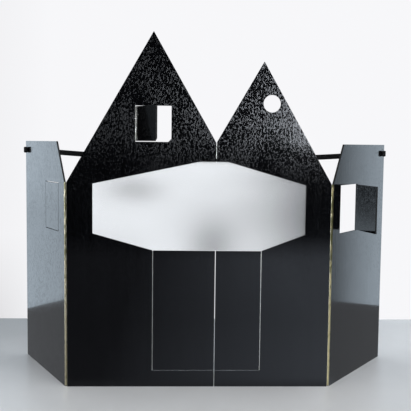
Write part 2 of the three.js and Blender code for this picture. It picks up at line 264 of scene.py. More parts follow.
# Black stained and lacquered ply, its face grain upright. turn is the board's own turn, so that
# the plies are counted across its thickness. Rough flecks of grain break through the lacquer, fine
# upright streaks ripple it, and its gloss is drawn out across the grain.
def makePly(name, turn):
    look = stainedPly
    material, tree, shader = newMaterial(name)
    coords = addNode(tree, "ShaderNodeTexCoord")
    turned = (0, 0, math.radians(-turn))
    place = stretched(tree, coords.outputs["Object"], (1, 1, 1), turned)
    grain = cloud(tree, stretched(tree, place, look["grainScale"]), 4.0, 0.6)
    bands = cloud(tree, stretched(tree, place, look["bandScale"]), 4.0, 0.6)
    areas = cloud(tree, stretched(tree, place, look["areaScale"]), 2.0, 0.5)
    flecks = cloud(tree, stretched(tree, place, look["fleckScale"]), 1.0, 0.5)
    streaks = cloud(tree, stretched(tree, place, look["streakScale"]), 2.0, 0.5)
    grainShare, bandShare = look["grainShares"]
    figure = calc(
        tree,
        "ADD",
        calc(tree, "MULTIPLY", grain, grainShare),
        calc(tree, "MULTIPLY", bands, bandShare),
    )
    tones = spread(tree, figure, *look["tones"], 0.0, 1.0)
    face = blendColour(tree, tones, look["dark"], look["light"])
    across = addNode(tree, "ShaderNodeSeparateXYZ")
    tree.links.new(place, across.inputs["Vector"])
    phase = calc(tree, "MULTIPLY", across.outputs["Y"], 2 * math.pi / look["plyPair"])
    plies = spread(tree, calc(tree, "SINE", phase), *look["plyTones"], 0.0, 1.0)
    edge = blendColour(tree, plies, look["edgeDark"], look["edgeLight"])
    facing = addNode(tree, "ShaderNodeMapping", {"Rotation": turned}, vector_type="VECTOR")
    tree.links.new(coords.outputs["Normal"], facing.inputs["Vector"])
    side = addNode(tree, "ShaderNodeSeparateXYZ")
    tree.links.new(facing.outputs["Vector"], side.inputs["Vector"])
    onEdge = calc(tree, "LESS_THAN", calc(tree, "ABSOLUTE", side.outputs["Y"]), 0.5)
    onFace = calc(tree, "SUBTRACT", 1.0, onEdge)
    tree.links.new(blendColour(tree, onEdge, face, edge), shader.inputs["Base Color"])
    density = calc(tree, "ADD", flecks, calc(tree, "MULTIPLY", areas, look["areaShare"]))
    gloss = spread(tree, density, *look["flecksFrom"], look["smooth"], look["flecked"])
    rough = calc(
        tree,
        "MAXIMUM",
        calc(tree, "MULTIPLY", gloss, onFace),
        calc(tree, "MULTIPLY", onEdge, look["edgeRough"]),
    )
    tree.links.new(rough, shader.inputs["Roughness"])
    soft = addNode(tree, "ShaderNodeBevel", {"Radius": look["edgeRound"]}, samples=4)
    bumpOf(tree, streaks, 1.0, look["relief"], shader, soft.outputs["Normal"])
    shader.inputs["Anisotropic"].default_value = look["acrossGrain"]
    level = addNode(
        tree,
        "ShaderNodeVectorTransform",
        {"Vector": (math.cos(math.radians(turn)), math.sin(math.radians(turn)), 0)},
        vector_type="VECTOR",
        convert_from="OBJECT",
        convert_to="WORLD",
    )
    tree.links.new(level.outputs["Vector"], shader.inputs["Tangent"])
    shader.inputs["Coat Weight"].default_value = look["coat"]
    tree.links.new(calc(tree, "MULTIPLY", onFace, look["coat"]), shader.inputs["Coat Weight"])
    shader.inputs["Coat Roughness"].default_value = look["coatRough"]
    return material


# Pale brass, with dark patina spots all over. The wings' hinges are a deeper yellow below a height,
# and between two heights they get more dark spots, a painted shade.
brassFinish = {
    "pale": (0.97, 0.95, 0.88),
    "golden": (0.92, 0.85, 0.62),
    "patinaAndShade": (0.30, 0.29, 0.16),
    "shadeBandFrom": (0.44, 0.54),
    "goldenTo": (0.90, 0.95),
    "wingsFrom": (0.38, 0.45),
    "shadeBandMore": 0.16,
    "spotsFrom": (0.56, 0.70),
    "patinaScale": (90, 90, 34),
    "brushedScale": (2600, 2600, 140),
    "patina": (0.35, 0.7),
    "rough": (0.34, 0.5),
    "brushed": (0.12, 0.0001),
}


def makeBrass():
    look = brassFinish
    material, tree, shader = newMaterial("brushed_brass")
    coords = addNode(tree, "ShaderNodeTexCoord")
    patina = cloud(tree, stretched(tree, coords.outputs["Object"], look["patinaScale"]), 5.0, 0.6)
    brushed = cloud(tree, stretched(tree, coords.outputs["Object"], look["brushedScale"]), 2.0, 0.5)
    place = addNode(tree, "ShaderNodeSeparateXYZ")
    tree.links.new(coords.outputs["Object"], place.inputs["Vector"])
    inner, outer = (reach ** 2 for reach in look["wingsFrom"])
    aside = calc(tree, "MULTIPLY", place.outputs["X"], place.outputs["X"])
    atWings = spread(tree, aside, inner, outer, 0.0, 1.0)
    low = spread(tree, place.outputs["Z"], *look["goldenTo"], 1.0, 0.0)
    belowTop = calc(tree, "MULTIPLY", atWings, low)
    # Between two heights on the wings' hinges, more dark spots are a painted shade
    raised = spread(tree, place.outputs["Z"], *look["shadeBandFrom"], 0.0, 1.0)
    shadeBand = calc(tree, "MULTIPLY", belowTop, raised)
    spots = calc(tree, "ADD", patina, calc(tree, "MULTIPLY", shadeBand, look["shadeBandMore"]))
    # The wings' hinges are a deeper yellow below a height
    clean = blendColour(tree, belowTop, look["pale"], look["golden"])
    spotted = spread(tree, spots, *look["spotsFrom"], 0.0, 1.0)
    # Dark spots: patina all over, and painted shade in the wings' band
    tree.links.new(blendColour(tree, spotted, clean, look["patinaAndShade"]), shader.inputs["Base Color"])
    rough = spread(tree, patina, *look["patina"], *look["rough"])
    tree.links.new(rough, shader.inputs["Roughness"])
    shader.inputs["Metallic"].default_value = 1.0
    bumpOf(tree, brushed, *look["brushed"], shader)
    return material


blackenedFinish = {
    "dark": (0.006, 0.006, 0.0065),
    "worn": (0.02, 0.019, 0.018),
    "wearScale": (300, 300, 90),
    "wornFrom": (0.4, 0.7),
    "roughFrom": (0.3, 0.7),
    "rough": (0.42, 0.6),
}


def makeBlackened():
    look = blackenedFinish
    material, tree, shader = newMaterial("blackened_hinge")
    coords = addNode(tree, "ShaderNodeTexCoord")
    wear = cloud(tree, stretched(tree, coords.outputs["Object"], look["wearScale"]), 3.0, 0.6)
    worn = spread(tree, wear, *look["wornFrom"], 0.0, 1.0)
    tree.links.new(blendColour(tree, worn, look["dark"], look["worn"]), shader.inputs["Base Color"])
    rough = spread(tree, wear, *look["roughFrom"], *look["rough"])
    tree.links.new(rough, shader.inputs["Roughness"])
    shader.inputs["Metallic"].default_value = 1.0
    return material


frostFinish = {
    "pale": (0.96, 0.975, 0.99),
    "shade": (0.93, 0.945, 0.96),
    "shadeFrom": (0.42, 0.72),
    "driftScale": (4.4, 4.4, 7.5),
    "fineScale": (900, 900, 900),
    "letsThrough": 0.93,
    "roughness": 0.17,
    "ior": 1.3,
    "fine": (0.04, 0.0001),
}


def makeFrosted():
    look = frostFinish
    material, tree, shader = newMaterial("frosted_film")
    coords = addNode(tree, "ShaderNodeTexCoord")
    drift = cloud(tree, stretched(tree, coords.outputs["Object"], look["driftScale"]), 1.0, 0.4)
    fine = cloud(tree, stretched(tree, coords.outputs["Object"], look["fineScale"]), 2.0, 0.5)
    shade = spread(tree, drift, *look["shadeFrom"], 0.0, 1.0)
    colour = blendColour(tree, shade, look["pale"], look["shade"])
    tree.links.new(colour, shader.inputs["Base Color"])
    shader.inputs["Roughness"].default_value = look["roughness"]
    shader.inputs["Transmission Weight"].default_value = look["letsThrough"]
    shader.inputs["IOR"].default_value = look["ior"]
    bumpOf(tree, fine, *look["fine"], shader)
    return material


clothFinish = {
    "rough": 0.78,
    "sheen": 0.02,
    "sheenRough": 0.5,
    "specular": 0.25,
    "relief": 0.5,
    "diagonal": 0.6,
    "fuzz": 0.3,
    "fuzzScale": (500, 500, 500),
    "weaveSpread": (-1.4, 1.4, 0.0, 0.8),
}


# Woven cloth, its threads counted along two directions of the coordinates that it is given
def makeWoven(name, tone, threadHighlight, pitch, source):
    look = clothFinish
    material, tree, shader = newMaterial(name)
    coords = addNode(tree, "ShaderNodeTexCoord")
    split = addNode(tree, "ShaderNodeSeparateXYZ")
    tree.links.new(coords.outputs[source], split.inputs["Vector"])
    first = split.outputs["X"]
    second = split.outputs["Z"] if source == "Object" else split.outputs["Y"]
    turn = 2 * math.pi / pitch
    warp = calc(tree, "SINE", calc(tree, "MULTIPLY", first, turn))
    weft = calc(tree, "SINE", calc(tree, "MULTIPLY", second, turn))
    diagonal = calc(tree, "MULTIPLY", calc(tree, "ADD", first, second), turn / 2)
    twill = calc(tree, "MULTIPLY", calc(tree, "SINE", diagonal), look["diagonal"])
    weave = calc(tree, "ADD", calc(tree, "MULTIPLY", warp, weft), twill)
    fuzz = cloud(tree, stretched(tree, coords.outputs[source], look["fuzzScale"]), 3.0, 0.6)
    # The threads are painted lighter than the hollows: a painted highlight and painted shade of the
    # weave, broken up by random fuzz
    raised = spread(tree, weave, *look["weaveSpread"])
    lit = calc(tree, "ADD", raised, calc(tree, "MULTIPLY", fuzz, look["fuzz"]))
    tree.links.new(blendColour(tree, lit, tone, threadHighlight), shader.inputs["Base Color"])
    shader.inputs["Roughness"].default_value = look["rough"]
    shader.inputs["Sheen Weight"].default_value = look["sheen"]
    shader.inputs["Specular IOR Level"].default_value = look["specular"]
    shader.inputs["Sheen Roughness"].default_value = look["sheenRough"]
    bumpOf(tree, weave, look["relief"], pitch / 6, shader)
    return material


dowelFinish = {
    "dark": (0.002, 0.002, 0.0022),
    "light": (0.01, 0.0098, 0.0095),
    "grainScale": (900, 900, 60),
    "lightFrom": (0.35, 0.7),
    "roughFrom": (0.3, 0.7),
    "rough": (0.35, 0.5),
    "relief": (0.2, 0.0003),
}


def makeDowelWood():
    look = dowelFinish
    material, tree, shader = newMaterial("black_dowel_wood")
    coords = addNode(tree, "ShaderNodeTexCoord")
    grain = cloud(tree, stretched(tree, coords.outputs["Object"], look["grainScale"]), 4.0, 0.6)
    tones = spread(tree, grain, *look["lightFrom"], 0.0, 1.0)
    colour = blendColour(tree, tones, look["dark"], look["light"])
    tree.links.new(colour, shader.inputs["Base Color"])
    rough = spread(tree, grain, *look["roughFrom"], *look["rough"])
    tree.links.new(rough, shader.inputs["Roughness"])
    bumpOf(tree, grain, *look["relief"], shader)
    return material


brass = makeBrass()
blackened = makeBlackened()
frosted = makeFrosted()
# Each cloth's tone in the hollows, a painted shade, and on the threads, a painted highlight, its
# threads' pitch and its coordinates
bindingCloth = makeWoven(
    "black_binding_twill", (0.005, 0.005, 0.0055), (0.02, 0.02, 0.021), 0.0009, "Object"
)
webbing = makeWoven(
    "black_strap_webbing", (0.0015, 0.0015, 0.0017), (0.008, 0.008, 0.009), 0.0021, "UV"
)
dowelWood = makeDowelWood()

# Each board's own turn about the upright, in degrees
boardTurns = {
    "front_panel_left": 0,
    "front_panel_right": 0,
    "left_door_panel": 0,
    "right_door_panel": 0,
    "gable_shutter_panel": -54.5,
    "left_wing_panel": -62.4,
    "left_shutter_panel": -62.4,
    "right_wing_panel": 53.7,
    "right_shutter_panel": 105.7,
}
turns = sorted(set(boardTurns.values()))
plyByTurn = {turn: makePly(f"black_ply_{i + 1}", turn) for i, turn in enumerate(turns)}
for name, turn in boardTurns.items():
    nodes[name].material_slots[0].material = plyByTurn[turn]
darkHinges = ("left_shutter", "right_shutter")
for name, node in nodes.items():
    if "_hinge_" in name:
        node.material_slots[0].material = blackened if name.startswith(darkHinges) else brass
print("finishes on the carried-over boards and hinges")


# Countersunk heads of the screws that hold the hinges' leaves to the boards' edges
screws = {
    "sides": 16,
    "radius": 0.0025,
    "proud": 0.00013,
    "sunk": 0.0003,
    "crossWidth": 0.0006,
    "crossReach": 0.0015,
    "crossDepth": 0.0001,
    "pitch": 0.060,
    "fewest": 2,
    "firstTurn": 11,
    "nextTurn": 37,
    "faceFromAxis": 0.0002,
    "middleFromAxis": 0.0065,
}
# Each hinge's fixed and moving body, the side of its moving leaf, the face that its barrel is on
# (1 is the rear or inner one), and the turns of its fixed and moving board
hinges = {
    "centre_top": ("left_front", "right_front", 1, 1, 0, 0),
    "centre_bottom": ("left_front", "right_front", 1, 1, 0, 0),
    "left_wing": ("left_front", "left_wing", -1, 1, 0, -62.4),
    "right_wing": ("right_front", "right_wing", 1, 1, 0, 53.7),
    "left_door": ("left_front", "left_door", 1, 1, 0, 0),
    "right_door": ("right_front", "right_door", -1, 1, 0, 0),
    "gable_shutter": ("left_front", "gable_shutter", 1, -1, 0, -54.5),
    "left_shutter": ("left_wing", "left_shutter", 1, 1, -62.4, -62.4),
    "right_shutter": ("right_wing", "right_shutter", -1, -1, 53.7, 105.7),
}


def makeScrewHead():
    clearSelection()
    height = screws["proud"] + screws["sunk"]
    bpy.ops.mesh.primitive_cylinder_add(
        vertices=screws["sides"],
        radius=screws["radius"],
        depth=height,
        location=(0, 0, screws["proud"] - height / 2),
    )
    head = bpy.context.object
    settle(head)
    half = screws["crossWidth"] / 2
    reach = screws["crossReach"]
    bpy.ops.object.mode_set(mode="EDIT")
    for normal in ((1, 0, 0), (0, 1, 0)):
        for side in (-1, 1):
            for distance in (half, reach):
                bpy.ops.mesh.select_all(action="SELECT")
                bpy.ops.mesh.bisect(plane_co=Vector(normal) * side * distance, plane_no=normal)
    bpy.ops.object.mode_set(mode="OBJECT")

    def inCross(face):
        x, y = abs(face.center.x), abs(face.center.y)
        return face.normal.z > 0.9 and max(x, y) < reach and min(x, y) < half

    pickFaces(head, inCross)
    down = (0, 0, -screws["crossDepth"])
    bpy.ops.mesh.extrude_region_move(TRANSFORM_OT_translate={"value": down})
    bpy.ops.object.mode_set(mode="OBJECT")
    return head


def addScrews(template, hinge, side, barrelSide, turn, body, leaf):
    low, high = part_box(f"{hinge}_hinge_pin")
    axis = Vector(((low.x + high.x) / 2, (low.y + high.y) / 2, 0))
    length = high.z - low.z
    count = max(screws["fewest"], round(length / screws["pitch"]))
    swing = Matrix.Rotation(math.radians(turn), 4, "Z")
    seat = Vector((side * screws["faceFromAxis"], -barrelSide * screws["middleFromAxis"], 0))
    upright = Matrix.Rotation(math.radians(-90 * side), 4, "Y")
    spots = []
    for i in range(count):
        lift = Matrix.Translation(axis + Vector((0, 0, low.z + (i + 0.5) * length / count)))
        twist = math.radians(screws["nextTurn"] * i + screws["firstTurn"])
        twisted = Matrix.Rotation(twist, 4, "Z")
        spots.append(lift @ swing @ Matrix.Translation(seat) @ upright @ twisted)
    heads = copyTo(template, spots, f"{hinge}_{leaf}_leaf_screws")
    if hinge in darkHinges:
        finishPiece(heads, blackened)
    else:
        finishPiece(heads, brass)
    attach(heads, body)


headTemplate = makeScrewHead()
for hinge, (fixed, moving, movingSide, barrelSide, fixedTurn, movingTurn) in hinges.items():
    addScrews(headTemplate, hinge, -movingSide, barrelSide, fixedTurn, fixed, "fixed")
    addScrews(headTemplate, hinge, movingSide, barrelSide, movingTurn, moving, "moving")
discard(headTemplate)
print("screw heads on the hinge leaves")


# Frosted film behind the stage opening. The outline is the opening's own, and each edge of the
# film lies outside it.
film = {
    "opening": [
        (-0.265, 0.587),
        (0.195, 0.587),
        (0.381, 0.658),
        (0.381, 0.868),
        (0.050, 0.964),
        (-0.069, 0.964),
        (-0.519, 0.868),
        (-0.519, 0.658),
    ],
    "margin": 0.0026,
    "bottom": 0.5879,
    "middle": 0.0093,
    "thickness": 0.0007,
    "columns": 120,
    "rows": 36,
    "ripple": 0.00012,
    "waves": (41, 9, 33),
    "drift": (9, 14),
    "driftShare": 0.6,
    "softLength": 0.012,
}
# The opening's outline across and up, from its lower left corner against the clock
opening = [(seam.x + x, z) for x, z in film["opening"]]
filmY = seam.y + film["middle"]


# Cuts the piece in hand along the opening's outline and a margin, all but its lower edge
def trimToOpening(margin):
    bpy.ops.object.mode_set(mode="EDIT")
    for i, (x0, z0) in enumerate(opening):
        x1, z1 = opening[(i + 1) % len(opening)]
        outward = Vector((z1 - z0, 0, x0 - x1)).normalized()
        if outward.z < -0.99:
            continue
        bpy.ops.mesh.select_all(action="SELECT")
        bpy.ops.mesh.bisect(
            plane_co=Vector((x0, 0, z0)) + outward * margin,
            plane_no=outward,
            clear_outer=True,
        )
    bpy.ops.object.mode_set(mode="OBJECT")


def makeFilm():
    low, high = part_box("screen_sheet")
    wide = high.x - low.x
    tall = high.z - film["bottom"]
    clearSelection()
    bpy.ops.mesh.primitive_grid_add(
        x_subdivisions=film["columns"],
        y_subdivisions=film["rows"],
        size=1,
        location=((low.x + high.x) / 2, filmY, film["bottom"] + tall / 2),
        rotation=(math.pi / 2, 0, 0),
    )
    sheet = bpy.context.object
    sheet.name = "frosted_screen"
    sheet.scale = (wide, tall, 1)
    settle(sheet)
    trimToOpening(film["margin"])
    acrossRate, slantRate, upRate = film["waves"]
    acrossDrift, upDrift = film["drift"]
    for point in sheet.data.vertices:
        x, z = point.co.x, point.co.z
        wave = math.sin(x * acrossRate + z * slantRate) * math.sin(z * upRate + 0.7)
        drift = noise.noise(Vector((x * acrossDrift, 0, z * upDrift)))
        point.co.y += film["ripple"] * (wave + film["driftShare"] * drift)
    area = sum(face.area for face in sheet.data.polygons)
    thick = sheet.modifiers.new("thickness", "SOLIDIFY")
    thick.thickness = film["thickness"]
    thick.offset = 0
    applyModifiers(sheet)
    smooth(sheet, 60)
    finishPiece(sheet, frosted)
    return sheet, (wide, tall), area


# Bound edge of the film, sewn in two rows and tacked to the boards' backs
binding = {
    "edgeRound": 0.0005,
    "foldSteps": 6,
    "rows": (0.0052, 0.0098),
    "stitchPitch": 0.0034,
    "stitchLength": 0.0023,
    "stitchRadius": 0.00022,
    "stitchProud": 0.00008,
    "overBottom": 0.004,
    "rear": 0.0103,
    "tackRadius": 0.0027,
    "tackHeight": 0.0011,
    "tackPitch": 0.085,
    "tackRow": 0.0075,
    "tackSunk": 0.0001,
    "tackFromSeam": 0.018,
}
bindingRear = seam.y + binding["rear"]


def makeBinding():
    tape = bpy.data.objects.new("screen_binding", nodes["screen_hem"].data.copy())
    scene.collection.objects.link(tape)
    pick(tape)
    bpy.ops.object.mode_set(mode="EDIT")
    bpy.ops.mesh.select_all(action="SELECT")
    bpy.ops.mesh.remove_doubles(threshold=0.00001)
    bpy.ops.mesh.normals_make_consistent(inside=False)
    bpy.ops.mesh.dissolve_limited(angle_limit=math.radians(2))
    bpy.ops.object.mode_set(mode="OBJECT")
    rounded = tape.modifiers.new("rounded", "BEVEL")
    rounded.width = binding["edgeRound"]
    rounded.segments = 2
    rounded.limit_method = "ANGLE"
    rounded.angle_limit = math.radians(40)
    applyModifiers(tape)
    bpy.ops.object.mode_set(mode="EDIT")
    steps = binding["foldSteps"]
    for i in range(-steps, steps + 1):
        bpy.ops.mesh.select_all(action="SELECT")
        fold = (seam.x + i * film["softLength"] / steps, 0, 0)
        bpy.ops.mesh.bisect(plane_co=fold, plane_no=(1, 0, 0))
    bpy.ops.object.mode_set(mode="OBJECT")
    smooth(tape, 30)
    finishPiece(tape, bindingCloth)
    return tape


# Points at even steps along the binding, from its lower left end over the top to its lower right
def bindingRun(margin, pitch):
    count = len(opening)
    lines = []
    for i, (x0, z0) in enumerate(opening):
        x1, z1 = opening[(i + 1) % count]
        outward = Vector((z1 - z0, x0 - x1)).normalized()
        lines.append((outward, outward.dot(Vector((x0, z0))) + margin))
    offset = []
    for i in range(count):
        (n0, r0), (n1, r1) = lines[i - 1], lines[i]
        cross = n0.x * n1.y - n0.y * n1.x
        offset.append(Vector(((r0 * n1.y - r1 * n0.y) / cross, (r1 * n0.x - r0 * n1.x) / cross)))
    path = [offset[i % count] for i in range(count, 0, -1)]
    lowest = film["bottom"] + binding["overBottom"]
    for end, inner in ((0, 1), (-1, -2)):
        share = (lowest - path[end].y) / (path[inner].y - path[end].y)
        path[end] = path[end].lerp(path[inner], max(0, share))
    spots = []
    for a, b in zip(path, path[1:]):
        length = (b - a).length
        steps = max(1, int(length / pitch))
        for k in range(steps):
            spots.append((a.lerp(b, (k + 0.5) / steps), (b - a).normalized()))
    return spots


def makeStitches():
    clearSelection()
    bpy.ops.mesh.primitive_uv_sphere_add(
        segments=6,
        ring_count=4,
        radius=1,
        rotation=(0, math.pi / 2, 0),
    )
    stitch = bpy.context.object
    settle(stitch)
    radius = binding["stitchRadius"]
    stitch.scale = (binding["stitchLength"] / 2, radius, radius)
    settle(stitch)
    rear = bindingRear + binding["stitchProud"]
    spots = []
    for margin in binding["rows"]:
        for place, way in bindingRun(margin, binding["stitchPitch"]):
            turn = Matrix.Rotation(-math.atan2(way.y, way.x), 4, "Y")
            spots.append(Matrix.Translation((place.x, rear, place.y)) @ turn)
    seams = copyTo(stitch, spots, "screen_binding_stitches")
    discard(stitch)
    finishPiece(seams, bindingCloth)
    return seams


def makeTacks():
    clearSelection()
    bpy.ops.mesh.primitive_uv_sphere_add(segments=20, ring_count=12, radius=binding["tackRadius"])
    tack = bpy.context.object
    bpy.ops.object.mode_set(mode="EDIT")
    bpy.ops.mesh.select_all(action="SELECT")
    bpy.ops.mesh.bisect(plane_co=(0, 0, 0), plane_no=(0, 0, -1), clear_outer=True, use_fill=True)
    bpy.ops.object.mode_set(mode="OBJECT")
    tack.scale = (1, 1, binding["tackHeight"] / binding["tackRadius"])
    settle(tack)
    smooth(tack, 50)
    lean = Matrix.Rotation(math.radians(-90), 4, "X")
    rear = bindingRear - binding["tackSunk"]
    for name, side in (("left", -1), ("right", 1)):
        spots = [
            Matrix.Translation((place.x, rear, place.y)) @ lean
            for place, _ in bindingRun(binding["tackRow"], binding["tackPitch"])
            if side * (place.x - seam.x) > binding["tackFromSeam"]
        ]
        tacks = copyTo(tack, spots, f"screen_tacks_{name}")
        finishPiece(tacks, dowelWood)
        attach(tacks, f"{name}_front")
    discard(tack)


screenPiece, filmSize, filmArea = makeFilm()
bindingPiece = makeBinding()
stitchPiece = makeStitches()
makeTacks()
for piece in (screenPiece, bindingPiece, stitchPiece):
    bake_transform(piece)
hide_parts("screen_sheet")
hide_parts("screen_hem")
print("frosted film, its binding, stitches and tacks")


# Webbing strap in three lengths that meet end to end
strap = {
    "width": 0.025,
    "thickness": 0.0022,
    "sag": 0.036,
    "loopRadius": 0.0075,
    "loopSteps": 32,
    "mouthReach": 0.0026,
    "mouthHalf": 0.0003,
    "leadReach": 0.023,
    "leadBend": 0.006,
    "bendLength": 0.016,
    "bendSteps": 8,
    "cuts": (-0.36, 0.36),
    "steps": 90,
    "rows": 6,
    "trim": 0.0004,
}


def toggleMiddle(side):
    low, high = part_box(f"strap_toggle_{side}")
    return (low + high) / 2


# Where the strap leaves a wing's slot on the inner side, square to the wing
def leadEnd(side):
    turn = math.radians(boardTurns[f"{side}_wing_panel"])
    return toggleMiddle(side) + Vector((-math.sin(turn), math.cos(turn), 0)) * strap["leadReach"]


def strapLine():
    left, right = toggleMiddle("left"), toggleMiddle("right")
    leftLead, rightLead = leadEnd("left"), leadEnd("right")
    start = left + (leftLead - left).normalized() * strap["loopRadius"]
    end = right + (rightLead - right).normalized() * strap["loopRadius"]
    span = rightLead - leftLead
    bend = strap["bendLength"] / span.length

    def onSag(share):
        point = leftLead.lerp(rightLead, share)
        point.z -= 4 * strap["sag"] * share * (1 - share)
        return point

    def curve(a, corner, b):
        return [
            a * (1 - t) ** 2 + corner * 2 * t * (1 - t) + b * t ** 2
            for t in (k / strap["bendSteps"] for k in range(strap["bendSteps"] + 1))
        ]

    near = leftLead - (leftLead - left).normalized() * strap["leadBend"]
    far = rightLead - (rightLead - right).normalized() * strap["leadBend"]
    line = [start] + curve(near, leftLead, onSag(bend))
    line += [onSag(bend + (1 - 2 * bend) * k / strap["steps"]) for k in range(1, strap["steps"])]
    return line + curve(onSag(1 - bend), rightLead, far) + [end]


# A length of webbing along a line, its weave counted in metres along and across it
def ribbon(name, line):
    clearSelection()
    last = len(line) - 1
    bpy.ops.mesh.primitive_grid_add(x_subdivisions=last, y_subdivisions=strap["rows"], size=1)
    piece = bpy.context.object
    piece.name = name
    run = [0.0]
    for a, b in zip(line, line[1:]):
        run.append(run[-1] + (b - a).length)
    weave = piece.data.uv_layers[0].data
    for loop in piece.data.loops:
        place = piece.data.vertices[loop.vertex_index].co
        column = round((place.x + 0.5) * last)
        weave[loop.index].uv = (run[column], (place.y + 0.5) * strap["width"])
    for point in piece.data.vertices:
        column = round((point.co.x + 0.5) * last)
        up = point.co.y * (strap["width"] - strap["trim"])
        point.co = line[column] + Vector((0, 0, up))
    thick = piece.modifiers.new("thickness", "SOLIDIFY")
    thick.thickness = strap["thickness"]
    thick.offset = 0
    thick.use_even_offset = True
    applyModifiers(piece)
    smooth(piece, 40)
    finishPiece(piece, webbing)
    return piece


# The part of a line between two places across the theatre
def splitLine(line, low, high):
    part = []
    for a, b in zip(line, line[1:]):
        for limit in (low, high):
            if a.x < limit < b.x:
                part.append(a.lerp(b, (limit - a.x) / (b.x - a.x)))
        if low <= b.x <= high:
            part.append(b)
    if low <= line[0].x <= high:
        part.insert(0, line[0])
    return sorted(part, key=lambda p: p.x)


# The end loop: round the toggle and back to a point in the slot's mouth
def loopLine(side):
    middle = toggleMiddle(side)
    inward = (leadEnd(side) - middle).normalized()
    aside = Vector((-inward.y, inward.x, 0))
    radius, steps = strap["loopRadius"], strap["loopSteps"]
    reach = radius + strap["mouthReach"]
    mouth = middle + inward * reach
    tangent = math.acos(radius / reach)
    points = []
    for k in range(steps + 1):
        angle = tangent + (2 * math.pi - 2 * tangent) * k / steps
        points.append(middle + radius * (inward * math.cos(angle) + aside * math.sin(angle)))
    return [mouth + aside * strap["mouthHalf"]] + points + [mouth - aside * strap["mouthHalf"]]


wholeLine = strapLine()
leftCut, rightCut = strap["cuts"]
strapLeft = ribbon("strap_left", splitLine(wholeLine, -1, leftCut))
strapMiddle = ribbon("strap_middle", splitLine(wholeLine, leftCut, rightCut))
strapRight = ribbon("strap_right", splitLine(wholeLine, rightCut, 1))
loopLeft = ribbon("strap_loop_left", loopLine("left"))
loopRight = ribbon("strap_loop_right", loopLine("right"))
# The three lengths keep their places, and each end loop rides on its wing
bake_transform(strapLeft)
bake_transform(strapMiddle)
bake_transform(strapRight)
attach(loopLeft, "left_wing")
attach(loopRight, "right_wing")
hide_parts("strap")
print("strap in three lengths with its end loops")


# Short dowels that the strap's loops go round
toggle = {
    "sides": 40,
    "edgeRound": 0.001,
    "roundSteps": 4,
}


def makeToggle(side):
    low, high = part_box(f"strap_toggle_{side}")
    clearSelection()
    bpy.ops.mesh.primitive_cylinder_add(
        vertices=toggle["sides"],
        radius=(high.x - low.x) / 2,
        depth=high.z - low.z,
        location=toggleMiddle(side),
    )
    dowel = bpy.context.object
    dowel.name = f"toggle_{side}"
    settle(dowel)
    pickEdges(dowel, lambda a, b: abs(a.z - b.z) < 0.0001)
    bpy.ops.mesh.bevel(offset=toggle["edgeRound"], segments=toggle["roundSteps"])
    bpy.ops.object.mode_set(mode="OBJECT")
    smooth(dowel, 40)
    finishPiece(dowel, dowelWood)
    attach(dowel, f"{side}_wing")
    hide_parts(f"strap_toggle_{side}")


makeToggle("left")
makeToggle("right")
print("toggles")


# Floor, wall and light. The room shows in the lacquer: a bright wall behind and beside, a window to
# the right in front, and a dark room to the left and behind the camera. A pair gives where a change
# starts and ends, and a group of four gives that and the values there.
studio = {
    # The floor's colour carries painted shade: darkest far to the left, and darker near the right
    # than near the left
    "floorFarLeft": (0.29, 0.291, 0.287),
    "floorNearLeft": (0.565, 0.572, 0.572),
    "floorFarRight": (0.53, 0.53, 0.522),
    "floorNearRight": (0.475, 0.475, 0.470),
    # In reflections the floor glows with a painted reflection: dim behind the front line, and in
    # front dark to the left and bright to the right
    "floorMirrored": (0.17, 0.178, 0.19),
    "frontFloorLeft": (0.05, 0.052, 0.06),
    "frontFloorRight": (0.37, 0.41, 0.48),
    "wall": (0.93, 0.93, 0.95),
    "wallMirrored": (0.83, 0.97, 1.10),
    "wallThrough": (0.935, 0.95, 0.97),
    "worldDark": (0.003, 0.003, 0.0035),
    "worldBright": (0.80, 0.83, 0.88),
    "floorSize": 24,
    "floorRough": 0.34,
    "floorSpecular": 0.3,
    "patchScale": (2.2, 2.2, 2.2),
    "patches": (0.3, 0.7, 0.95, 1.04),
    "leftToRight": (-1.3, 0.9),
    "nearToFar": (-0.1, 0.87),
    "litFrom": (-0.5, 0.7),
    "frontFrom": (-0.12, 0.08),
    "wallRough": 0.9,
    "wallSpecular": 0.1,
    "wallY": 1.24,
    "wallLeft": -6.0,
    "bendX": 1.72,
    "turns": ((0.9, -0.9, 0), (0.2, -5, 0)),
    "height": 4.0,
    # Painted shade on the wall as seen: darker at its left end and in its low left corner. The rest
    # shape the wall's painted reflection.
    "leftEnd": (-1.35, -0.9, 0.93, 1.0),
    "lowLeft": ((-1.4, -0.9, 0.24, 0.0), (0.0, 0.5, 1.0, 0.0)),
    "highLeft": ((-1.2, -0.6, 1.0, 0.0), (0.6, 0.8, 0.0, 0.2)),
    "mirrorEnd": (-2.9, -2.2, 0.06, 1.0),
    "mirrorNear": (-1.0, 0.0, 0.1, 1.0),
    "overhead": (0.35, 0.9, 0.0, 0.8),
    "behind": (-0.1, 0.4, 0.0, 1.0),
}


def mixShaders(tree, factor, first, second):
    node = addNode(tree, "ShaderNodeMixShader")
    tree.links.new(factor, node.inputs["Fac"])
    tree.links.new(first, node.inputs[1])
    tree.links.new(second, node.inputs[2])
    return node.outputs["Shader"]


def scaled(tree, colour, factor):
    node = addNode(tree, "ShaderNodeVectorMath", operation="SCALE")
    if hasattr(colour, "links"):
        tree.links.new(colour, node.inputs["Vector"])
    else:
        node.inputs["Vector"].default_value = colour
    tree.links.new(factor, node.inputs["Scale"])
    return node.outputs["Vector"]


def glowOf(tree, colour):
    glow = addNode(tree, "ShaderNodeEmission", {"Strength": 1.0})
    tree.links.new(colour, glow.inputs["Color"])
    return glow.outputs["Emission"]


